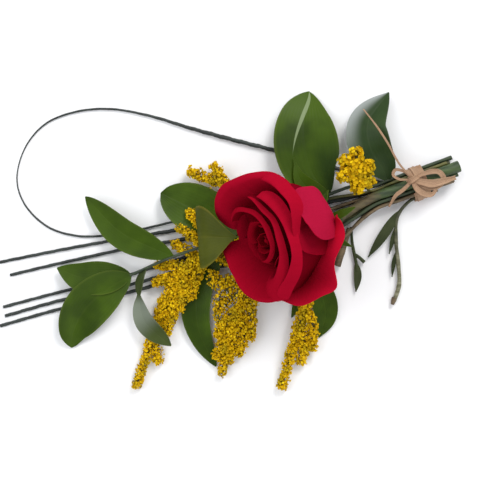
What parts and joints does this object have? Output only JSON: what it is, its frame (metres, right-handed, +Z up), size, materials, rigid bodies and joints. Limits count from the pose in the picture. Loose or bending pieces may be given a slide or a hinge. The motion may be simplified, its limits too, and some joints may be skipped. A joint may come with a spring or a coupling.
{
  "type": "single rose bouquet",
  "caption": "Cut red rose lying with glossy ruscus leaves, yellow goldenrod sprays, looped steel grass and small green sprigs, their stems tied in a bunch by a raffia bow.",
  "frame": {"origin": "on the surface the bunch lies on, at the flat underside of the raffia tie", "axes": "+X along the bunch toward the cut stem ends, +Y across it toward the large ruscus leaves, +Z up from the surface"},
  "size_m": [0.2499, 0.1601, 0.0658],
  "materials": {
    "petal_red": "matte",
    "stem_green": "satin",
    "ruscus_green": "satin",
    "sprig_green": "matte",
    "grass_green": "matte",
    "spray_green": "matte",
    "goldenrod_yellow": "matte",
    "raffia_tan": "matte"
  },
  "bodies": {
    "root": {"rose_bloom": "petal_red", "rose_stem": "stem_green", "ruscus_front": "ruscus_green", "ruscus_low": "ruscus_green", "ruscus_top": "ruscus_green", "ruscus_side": "ruscus_green", "sprig_1": "sprig_green", "sprig_2": "sprig_green", "grass_1": "grass_green", "grass_2": "grass_green", "grass_3": "grass_green", "grass_4": "grass_green", "grass_5": "grass_green", "grass_6": "grass_green", "goldenrod_stem_1": "spray_green", "goldenrod_stem_2": "spray_green", "goldenrod_stem_3": "spray_green", "goldenrod_stem_4": "spray_green", "goldenrod_stem_5": "spray_green", "goldenrod_head_1": "goldenrod_yellow", "goldenrod_head_2": "goldenrod_yellow", "goldenrod_head_3": "goldenrod_yellow", "goldenrod_head_4": "goldenrod_yellow", "goldenrod_head_5": "goldenrod_yellow", "raffia_wrap": "raffia_tan", "raffia_bow": "raffia_tan"}
  },
  "joints": []
}
